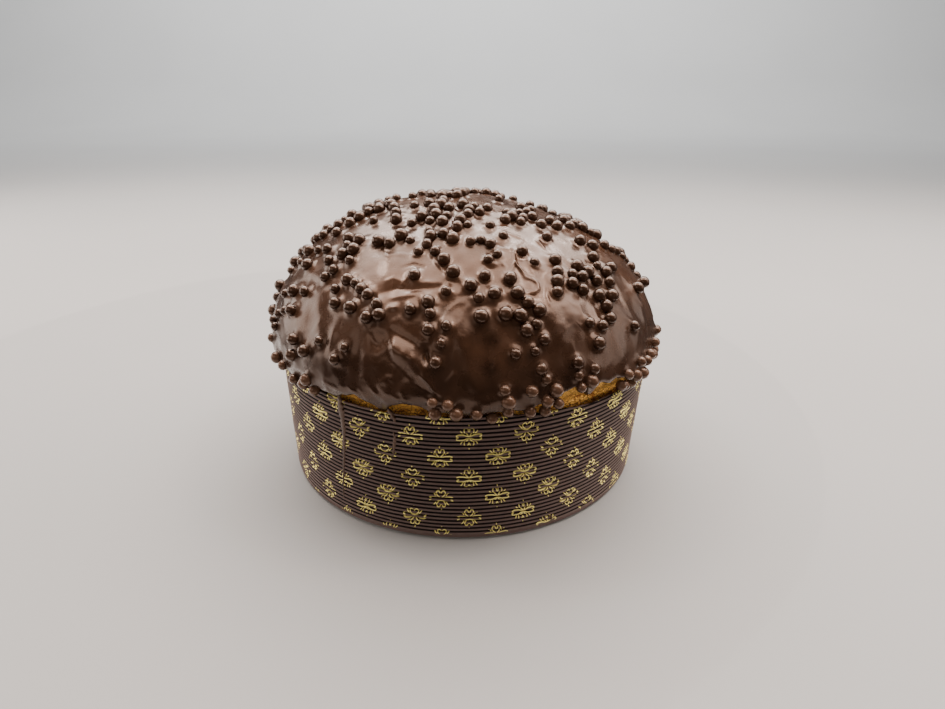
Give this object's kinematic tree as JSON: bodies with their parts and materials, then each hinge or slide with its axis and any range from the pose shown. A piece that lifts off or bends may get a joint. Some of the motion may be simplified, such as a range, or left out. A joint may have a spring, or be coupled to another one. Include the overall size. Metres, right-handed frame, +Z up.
{
  "type": "panettone",
  "caption": "Low, wide panettone in a fluted dark paper mould, its domed crown coated in dark chocolate and strewn with small chocolate pearls.",
  "frame": {"origin": "centre of the paper mould's underside", "axes": "+Z up out of the crown, -Y towards the side the picture shows, +X to the right of that side"},
  "size_m": [0.2269, 0.2239, 0.1554],
  "materials": {
    "mould_paper": "fluted baking paper, matt, printed with rows of small gold four-lobed scrolls",
    "baked_crust": "porous baked crust, matt",
    "dark_chocolate": "poured dark chocolate, satin to glossy"
  },
  "bodies": {
    "root": {"paper_mould": "mould_paper", "loaf": "baked_crust", "chocolate_coating": "dark_chocolate"}
  },
  "joints": []
}
